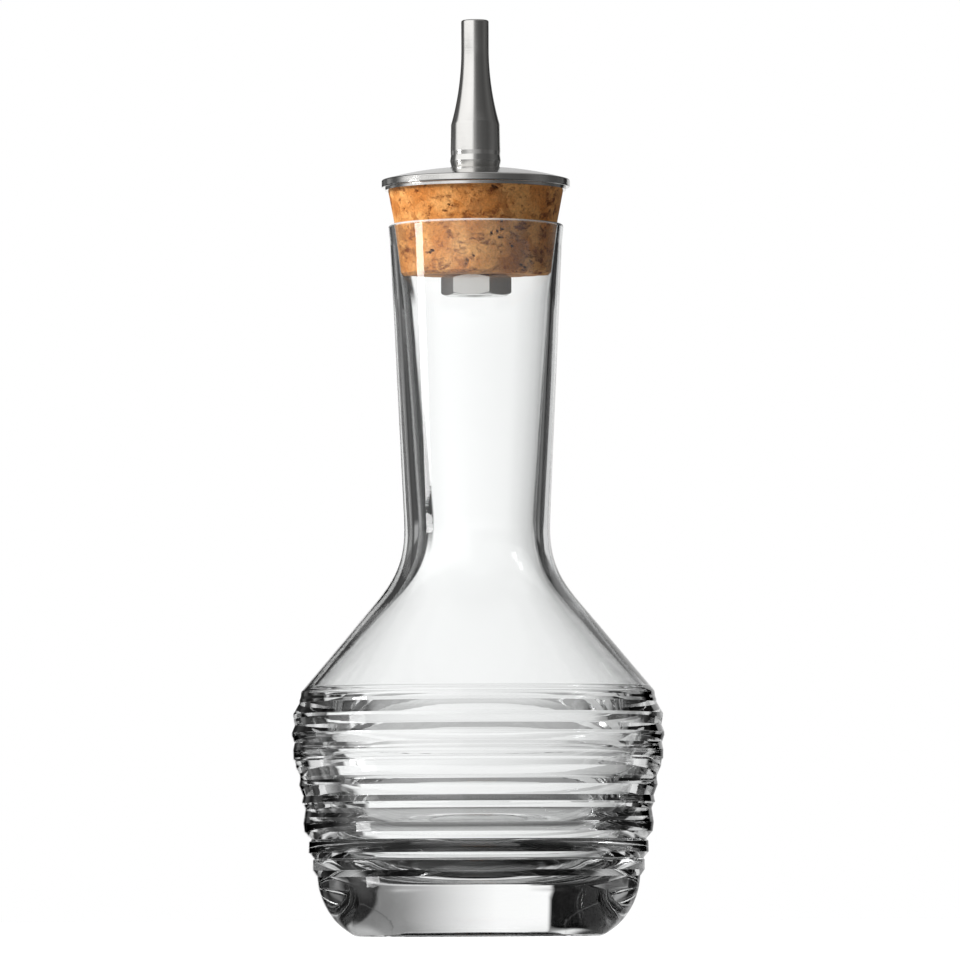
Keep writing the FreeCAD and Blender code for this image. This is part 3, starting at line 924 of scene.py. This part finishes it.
# Tones of the panel behind the bottle by degrees from straight behind it, right positive: near the table, at
# the shoulder's height, at the neck's height and above the stopper
PANEL_LOW = (
    (-60, 0.08),
    (-50, 0.03),
    (-40, 0.01),
    (-33, 0.0),
    (-17.2, 0.0),
    (-16.2, 0.89),
    (-4, 0.87),
    (0, 0.78),
    (4, 0.67),
    (8, 0.54),
    (12, 0.41),
    (16, 0.29),
    (20, 0.2),
    (23, 0.17),
    (24, 0.0),
    (38, 0.01),
    (48, 0.03),
    (60, 0.08),
)
PANEL_MIDDLE = (
    (-60, 0.04),
    (-45, 0.06),
    (-38, 0.05),
    (-34, 0.2),
    (-28, 0.22),
    (-25, 0.04),
    (-12, 0.02),
    (-10.8, 0.95),
    (-4, 0.92),
    (0, 0.88),
    (3, 0.85),
    (5, 0.82),
    (7, 0.78),
    (9, 0.75),
    (11, 0.7),
    (15, 0.63),
    (21, 0.56),
    (26, 0.5),
    (28, 0.0),
    (42, 0.0),
    (47, 0.15),
    (52, 0.1),
    (60, 0.06),
)
PANEL_NECK = (
    (-60, 0.3),
    (-46, 0.35),
    (-41, 0.06),
    (-34, 0.12),
    (-28, 0.12),
    (-25, 0.05),
    (-15.4, 0.03),
    (-14.2, 0.95),
    (-4, 0.92),
    (0, 0.88),
    (5, 0.82),
    (9, 0.75),
    (15, 0.63),
    (21, 0.58),
    (29, 0.58),
    (31, 0.0),
    (42, 0.0),
    (47, 0.15),
    (60, 0.06),
)
PANEL_HIGH = (
    (-60, 0.02),
    (-50, 0.1),
    (-40, 0.06),
    (-24, 0.06),
    (-17, 0.05),
    (-14, 0.6),
    (-8, 0.62),
    (0, 0.55),
    (6, 0.45),
    (12, 0.4),
    (16, 0.3),
    (22, 0.2),
    (26, 0.12),
    (30, 0.03),
    (60, 0.03),
)
PANEL_TONES = (PANEL_LOW, PANEL_MIDDLE, PANEL_NECK, PANEL_HIGH)

# Heights between which each row of tones gives way to the next, and between which the panel dims upwards
PANEL_BLENDS = ((0.026, 0.06), (0.085, 0.115), (0.165, 0.2))
PANEL_DIM = (0.36, 0.42)
PANEL_DIM_SHARE = 0.65
PANEL_SHINE = 1.2
PANEL_SIDE = 1.2

# Painted reflection: how much of the panel the table mirrors, by distance from the bottle's axis, weak near
# the foot and stronger further out
TABLE_REACH = (
    (0.0, 0.1),
    (0.03, 0.1),
    (0.036, 0.45),
    (0.05, 0.7),
    (0.09, 0.85),
    (0.14, 0.95),
)

# Where the table begins to mirror, from front to back, and where it glows with painted light: in front of
# the bottle, on both sides by degrees and distance, and as a painted pool of light a little under the back
# half of the foot
TABLE_MIRROR = (-0.06, 0.0)
TABLE_GLOW_FRONT = (-0.08, -0.035)
TABLE_GLOW_SIDES = (33.0, 42.0)
TABLE_GLOW_SIDES_REACH = (0.08, 0.13)
TABLE_GLOW = 0.8
FOOT_GLOW_BACK = (0.0, 0.006)
FOOT_GLOW_REACH = (0.027, 0.032)
FOOT_GLOW = 0.4

# How far the table lies below the foot, and its radius as a share of the panel's distance
TABLE_DROP = 0.0004
TABLE_SHARE = 1.5

# Tones of the room by the same degrees, at the height of the lens and above it
ROOM_TONES = (
    (-180, 0.45),
    (-160, 0.8),
    (-148, 0.8),
    (-130, 0.4),
    (-108, 0.35),
    (-80, 0.4),
    (-68, 0.12),
    (-48, 0.1),
    (48, 0.08),
    (78, 0.06),
    (88, 0.16),
    (104, 0.16),
    (118, 0.1),
    (150, 0.12),
    (180, 0.45),
)
ROOM_HIGH = (
    (-180, 0.25),
    (-172, 0.35),
    (-166, 0.95),
    (-140, 1.0),
    (-82, 0.9),
    (-74, 0.25),
    (-66, 0.05),
    (-48, 0.15),
    (48, 0.2),
    (62, 0.06),
    (90, 0.1),
    (120, 0.06),
    (150, 0.08),
    (172, 0.12),
    (180, 0.25),
)
SOFTBOX_SHINE = 1.3

# The rest of the room, with rises as sines of the angle above the horizon: where the upper tones take over,
# how much darker those are through glass, the pale front that shows through glass, the ceiling, and the soft
# fill
ROOM_RISE = (0.079, 0.083)
THROUGH_SHADE = 0.85
FRONT_TURN = (95.0, 125.0)
FRONT_RISE = (0.08, 0.2)
FRONT_TONE = 0.85
CEILING_RISE = (0.5, 0.87)
CEILING_TONE = 0.4
FILL_TONE = 0.05

# Soft boxes: degrees from the camera, right positive, height of the middle, width, height of the box, watts,
# and whether glass and steel mirror it. All face the same height on the axis.
LAMPS = {
    "strip_box": (-80.7, 0.0895, 0.13, 0.066, 0.33, True),
    "front_box": (-62.0, 0.56, 0.36, 0.36, 10.0, False),
}
LAMP_AIM = 0.0875

# How far the floor is lifted towards white
FLOOR_GLOW = 0.8


def bearing(x, y):
    """Degrees from straight behind the bottle to a direction or place, right positive."""
    return x.math("ARCTAN2", y) * (180 / math.pi)


def studio_light(scene):
    """White backdrop for the lens, the tones of the room for glass and steel, and a soft fill."""
    world = bpy.data.worlds.new("studio")
    scene.world = world
    shader = Shader(world)
    x, y, z = shader.parts(shader.place())
    turn = bearing(x, y)
    through = shader.ray("Is Transmission Ray")
    mirrored = shader.ray("Is Glossy Ray").math("MAXIMUM", through)
    high = shader.ramp(turn, ROOM_HIGH) * SOFTBOX_SHINE * (1 - through * THROUGH_SHADE)
    room = shader.blend(z.step(*ROOM_RISE), shader.ramp(turn, ROOM_TONES), high)
    front = turn.math("ABSOLUTE").step(*FRONT_TURN) * (1 - z.step(*FRONT_RISE))
    room = shader.blend(through * front, room, FRONT_TONE)
    room = shader.blend(z.step(*CEILING_RISE), room, CEILING_TONE)
    light = shader.blend(shader.ray("Is Camera Ray"), shader.blend(mirrored, FILL_TONE, room), 1.0)
    background = shader.add("ShaderNodeBackground", None, {"Color": light})
    shader.add("ShaderNodeOutputWorld", None, {"Surface": background})


def panel_finish():
    """The shining panel that the glass shows, brightest at the left, between two dark flags."""
    material, shader = new_shader("back_panel")
    x, y, z = shader.parts(shader.place())
    turn = bearing(x, y)
    tone = shader.ramp(turn, PANEL_TONES[0])
    for heights, tones in zip(PANEL_BLENDS, PANEL_TONES[1:]):
        tone = shader.blend(z.step(*heights), tone, shader.ramp(turn, tones))
    tone = tone * (1 - z.step(*PANEL_DIM) * PANEL_DIM_SHARE)
    shader.output(shader.add("ShaderNodeEmission", None, {"Color": tone, "Strength": PANEL_SHINE}))
    return material


def table_finish():
    """The dark polished table: it mirrors the panel for the glass, and glows with painted light in front and
    at the sides, and a little under the back half of the foot.
    """
    material, shader = new_shader("polished_table")
    x, y, _ = shader.parts(shader.place())
    reach = (x * x + y * y).math("SQRT")
    # Painted light: a glow in front and at the sides for rays through glass, and a painted pool under the
    # foot
    sides = bearing(x, y).math("ABSOLUTE").step(*TABLE_GLOW_SIDES) * reach.step(*TABLE_GLOW_SIDES_REACH)
    pale = shader.ray("Is Transmission Ray") * (1 - y.step(*TABLE_GLOW_FRONT)).math("MAXIMUM", sides)
    foot = y.step(*FOOT_GLOW_BACK) - reach.step(*FOOT_GLOW_REACH)
    shader.output(shader.add("ShaderNodeBsdfPrincipled", None, {
        "Base Color": shader.ramp(reach, TABLE_REACH) * y.step(*TABLE_MIRROR),
        "Metallic": 1.0,
        "Roughness": 0.08,
        # This emission is painted light, not a colour of the table
        "Emission Color": (foot * FOOT_GLOW).math("MAXIMUM", pale * TABLE_GLOW),
        "Emission Strength": 1.0,
    }))
    return material


def floor_finish(tone):
    """The matt pale floor, lifted towards the white of the backdrop for the lens alone."""
    material, shader = new_shader("pale_floor")
    matt = shader.add("ShaderNodeBsdfDiffuse", None, {"Color": rgba(tone)})
    glow = shader.add("ShaderNodeEmission", None, {"Color": shader.ray("Is Camera Ray") * FLOOR_GLOW})
    shader.output(shader.add("ShaderNodeAddShader", None, {0: matt, 1: glow}))
    return material


def hide_from_lens(board):
    """Let only glass and steel show a board, which the lens, matt surfaces and shadows pass by."""
    board.visible_camera = False
    board.visible_diffuse = False
    board.visible_shadow = False


def add_panel(distance):
    """Stand the panel behind the bottle."""
    bpy.ops.object.select_all(action="DESELECT")
    middle = (0, distance, PANEL_SIDE / 2)
    bpy.ops.mesh.primitive_plane_add(size=PANEL_SIDE, location=middle, rotation=(math.pi / 2, 0, 0))
    bpy.ops.object.transform_apply(location=True, rotation=True)
    panel = bpy.context.active_object
    panel.name = "back_panel"
    panel.data.materials.append(panel_finish())
    hide_from_lens(panel)


def round_board(name, radius, drop, material):
    """Lay a round board under the bottle, a drop below its foot."""
    bpy.ops.object.select_all(action="DESELECT")
    bpy.ops.mesh.primitive_circle_add(vertices=96, radius=radius, fill_type="NGON", location=(0, 0, -drop))
    bpy.ops.object.transform_apply(location=True)
    board = bpy.context.active_object
    board.name = name
    board.data.materials.append(material)
    return board


def add_lamp(name, degrees, height, width, tall, power, mirrored, distance):
    """Hang a soft box at a distance from the bottle's axis, facing the bottle."""
    bpy.ops.object.select_all(action="DESELECT")
    bpy.ops.object.light_add(type="AREA")
    lamp = bpy.context.active_object
    lamp.name = name
    lamp.data.shape = "RECTANGLE"
    lamp.data.size = width
    lamp.data.size_y = tall
    lamp.data.energy = power
    side = math.radians(degrees)
    lamp.location = (distance * math.sin(side), -distance * math.cos(side), height)
    lamp.rotation_euler = (Vector((0, 0, LAMP_AIM)) - lamp.location).to_track_quat("-Z", "Y").to_euler()
    lamp.visible_camera = False
    lamp.visible_transmission = False
    lamp.visible_glossy = mirrored


def add_camera(sizes):
    """Set up the camera in front of the bottle."""
    bpy.ops.object.camera_add()
    camera = bpy.context.active_object
    camera.name = "product_camera"
    camera.data.lens = sizes.lens
    camera.location = (sizes.aim_side, -sizes.distance, sizes.camera_height)
    aim = Vector((sizes.aim_side, 0, sizes.aim_height))
    camera.rotation_euler = (aim - camera.location).to_track_quat("-Z", "Y").to_euler()
    camera.rotation_euler.rotate_axis("Z", -sizes.roll)
    return camera


class BuildStage(bpy.types.Operator):
    """Set up the backdrop, the boards round the bottle, the lamps and the camera"""

    bl_idname = "bitters.stage"
    bl_label = "Stage"

    def execute(self, context):
        scene = context.scene
        sizes = scene.bitters_stage
        scene.view_settings.view_transform = "Standard"
        studio_light(scene)
        add_panel(sizes.panel_distance)
        table = round_board("polished_table", TABLE_SHARE * sizes.panel_distance, TABLE_DROP, table_finish())
        hide_from_lens(table)
        for name, settings in LAMPS.items():
            add_lamp(name, *settings, sizes.lamp_distance)
        floor = round_board("pale_floor", sizes.floor_radius, 0.0, floor_finish(scene.bitters_finishes.floor))
        floor.visible_transmission = False
        floor.visible_glossy = False
        scene.camera = add_camera(sizes)
        return {"FINISHED"}


class BittersPanel(bpy.types.Panel):
    """Lists the pieces and their sizes in the sidebar"""

    bl_idname = "VIEW3D_PT_bitters"
    bl_label = "Bitters bottle"
    bl_space_type = "VIEW_3D"
    bl_region_type = "UI"
    bl_category = "Bitters"

    def draw(self, context):
        for maker in MAKERS:
            self.layout.operator(maker.bl_idname)
        for name, group in GROUPS.items():
            box = self.layout.box()
            settings = getattr(context.scene, name)
            for key in group.__annotations__:
                box.prop(settings, key)


GROUPS = {
    "bitters_glass": GlassSizes,
    "bitters_stopper": StopperSizes,
    "bitters_finishes": Finishes,
    "bitters_stage": StageSizes,
}
MAKERS = (ModelGlass, ModelCork, ModelDisc, ModelSpout, ModelStem, ModelNut, BuildStage)


def register():
    """Register the settings, the operators and the panel."""
    for name, group in GROUPS.items():
        bpy.utils.register_class(group)
        setattr(bpy.types.Scene, name, PointerProperty(type=group))
    for item in (*MAKERS, BittersPanel):
        bpy.utils.register_class(item)


def unregister():
    """Take back what register did."""
    for item in reversed((*MAKERS, BittersPanel)):
        bpy.utils.unregister_class(item)
    for name, group in reversed(GROUPS.items()):
        delattr(bpy.types.Scene, name)
        bpy.utils.unregister_class(group)


def main():
    """Register everything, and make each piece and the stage."""
    register()
    for maker in MAKERS:
        group, name = maker.bl_idname.split(".")
        getattr(getattr(bpy.ops, group), name)()


if __name__ == "__main__":
    main()
